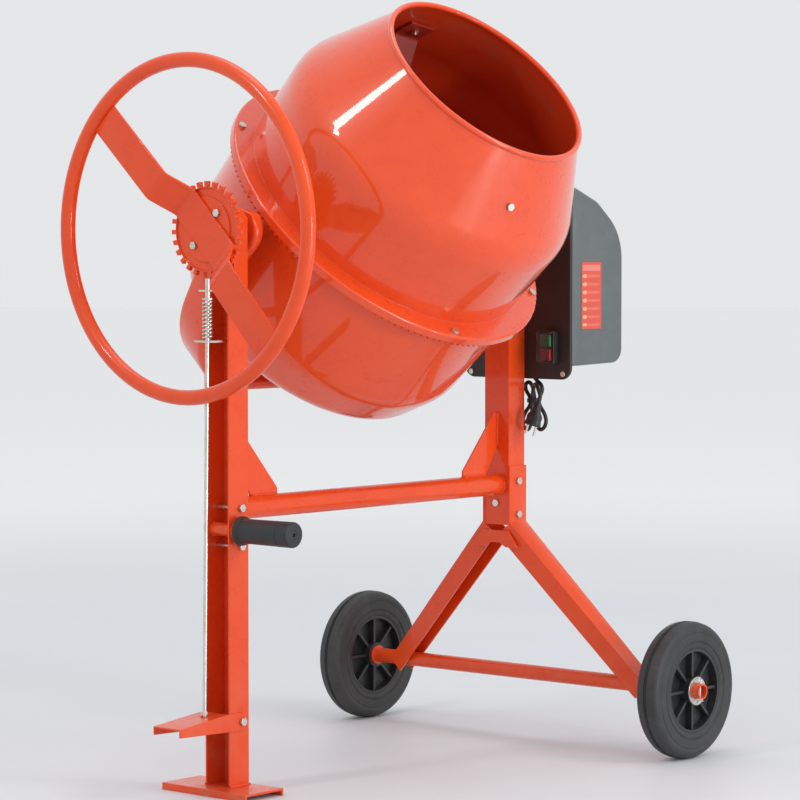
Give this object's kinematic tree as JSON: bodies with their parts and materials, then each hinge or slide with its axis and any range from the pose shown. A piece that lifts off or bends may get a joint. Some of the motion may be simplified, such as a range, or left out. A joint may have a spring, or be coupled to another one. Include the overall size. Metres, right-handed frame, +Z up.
{
  "type": "concrete mixer",
  "caption": "Tilting-drum cement mixer on an A-frame stand with a hand wheel, pedal tilt lock, motor housing and transport wheels.",
  "frame": {"origin": "on the floor, under the middle of the bounding box", "axes": "+Z up; X along the tilt axis, with the hand wheel at -X and the motor housing at +X; the drum pours towards -Y"},
  "size_m": [1.041, 0.816, 1.3063],
  "materials": {
    "orange_paint": "glossy powder coat",
    "dark_red_paint": "matt primer coat",
    "zinc": "zinc plated",
    "cast_gear": "dark cast surface",
    "alloy": "machined",
    "tyre_rubber": "matt",
    "black_rubber": "matt",
    "black_plastic": "fine texture",
    "grey_plastic": "slate grey, fine texture",
    "label_film": "plain printed film, blank",
    "green_plastic": "smooth",
    "red_plastic": "smooth"
  },
  "bodies": {
    "frame": {"stand_leg": "orange_paint", "motor_leg": "orange_paint", "foot_plate": "orange_paint", "cross_tube": "orange_paint", "gusset_stand": "orange_paint", "gusset_motor": "orange_paint", "bearing_stand": "orange_paint", "bearing_motor": "orange_paint", "strut_front": "orange_paint", "strut_rear": "orange_paint", "strut_bridge": "orange_paint", "axle_tube": "orange_paint", "frame_bolts": "zinc", "handle_stub": "orange_paint", "handle_grip": "black_rubber", "lock_guides": "orange_paint", "lock_spring": "zinc", "pedal_bolt": "zinc", "wheel_washers": "zinc", "split_pins": "zinc", "housing_panel": "black_plastic", "housing_cover": "grey_plastic", "cover_screws": "zinc", "label_plate": "label_film", "motor": "alloy", "switch_box": "black_plastic", "drive_belt": "black_rubber", "cord_gland": "black_rubber", "cord_lead": "black_rubber", "cord_hank": "black_rubber", "cord_plug": "black_rubber"},
    "yoke": {"yoke": "orange_paint", "pivot_tube_stand": "orange_paint", "locking_disc": "orange_paint", "hub_bolts": "zinc", "handwheel_rim": "orange_paint", "handwheel_strap": "orange_paint", "pivot_tube_motor": "orange_paint", "drum_shaft": "dark_red_paint", "yoke_bolts": "zinc"},
    "drum": {"drum_hub": "dark_red_paint", "lower_drum": "orange_paint", "upper_drum": "orange_paint", "ring_gear": "orange_paint", "flange_bolts": "zinc", "blade_a": "dark_red_paint", "blade_b": "dark_red_paint", "blade_bolts": "zinc"},
    "drive": {"pinion": "cast_gear", "drive_shaft": "zinc", "large_pulley": "alloy"},
    "motor_rotor": {"motor_pulley": "alloy"},
    "wheel_front": {"tyre_front": "tyre_rubber", "wheel_rim_front": "black_plastic"},
    "wheel_rear": {"tyre_rear": "tyre_rubber", "wheel_rim_rear": "black_plastic"},
    "lock_rod": {"lock_rod": "zinc"},
    "lock_pedal": {"lock_pedal": "orange_paint"},
    "start_button": {"start_button": "green_plastic"},
    "stop_button": {"stop_button": "red_plastic"}
  },
  "joints": [
    {"name": "tilt", "type": "hinge", "parent": "frame", "child": "yoke", "pos_m": [-0.0155, 0, 0.922], "axis": [1, 0, 0], "range_deg": [-45, 80]},
    {"name": "drum_spin", "type": "hinge", "parent": "yoke", "child": "drum", "pos_m": [-0.0155, 0, 0.922], "axis": [0, -0.7071, 0.7071], "continuous": true},
    {"name": "pinion_spin", "type": "hinge", "parent": "yoke", "child": "drive", "pos_m": [-0.0155, 0, 0.922], "axis": [1, 0, 0], "continuous": true},
    {"name": "motor_pulley_spin", "type": "hinge", "parent": "frame", "child": "motor_rotor", "pos_m": [-0.0155, -0.01, 0.748], "axis": [1, 0, 0], "continuous": true},
    {"name": "wheel_front_spin", "type": "hinge", "parent": "frame", "child": "wheel_front", "pos_m": [0.3865, -0.37, 0.12], "axis": [0, 1, 0], "continuous": true},
    {"name": "wheel_rear_spin", "type": "hinge", "parent": "frame", "child": "wheel_rear", "pos_m": [0.3865, 0.37, 0.12], "axis": [0, 1, 0], "continuous": true},
    {"name": "pedal", "type": "hinge", "parent": "frame", "child": "lock_pedal", "pos_m": [-0.3775, 0, 0.118], "axis": [0, 1, 0], "range_deg": [-8, 10.2], "stiffness_Nm_per_rad": 12, "springref_deg": 1.72},
    {"name": "lock_slide", "type": "slide", "parent": "frame", "child": "lock_rod", "axis": [0, 0, 1], "range_m": [-0.0085, 0.011], "deforming": ["lock_spring"]},
    {"name": "start_press", "type": "slide", "parent": "frame", "child": "start_button", "axis": [1, 0, 0], "range_m": [0, 0.0025], "stiffness_N_per_m": 600},
    {"name": "stop_press", "type": "slide", "parent": "frame", "child": "stop_button", "axis": [1, 0, 0], "range_m": [0, 0.0025], "stiffness_N_per_m": 600}
  ],
  "couplings": [
    {"joint": "pinion_spin", "follows": "drum_spin", "ratio": -10.5},
    {"joint": "motor_pulley_spin", "follows": "drum_spin", "ratio": -57.273},
    {"joint": "lock_slide", "follows": "pedal", "m_per_rad": 0.056}
  ]
}
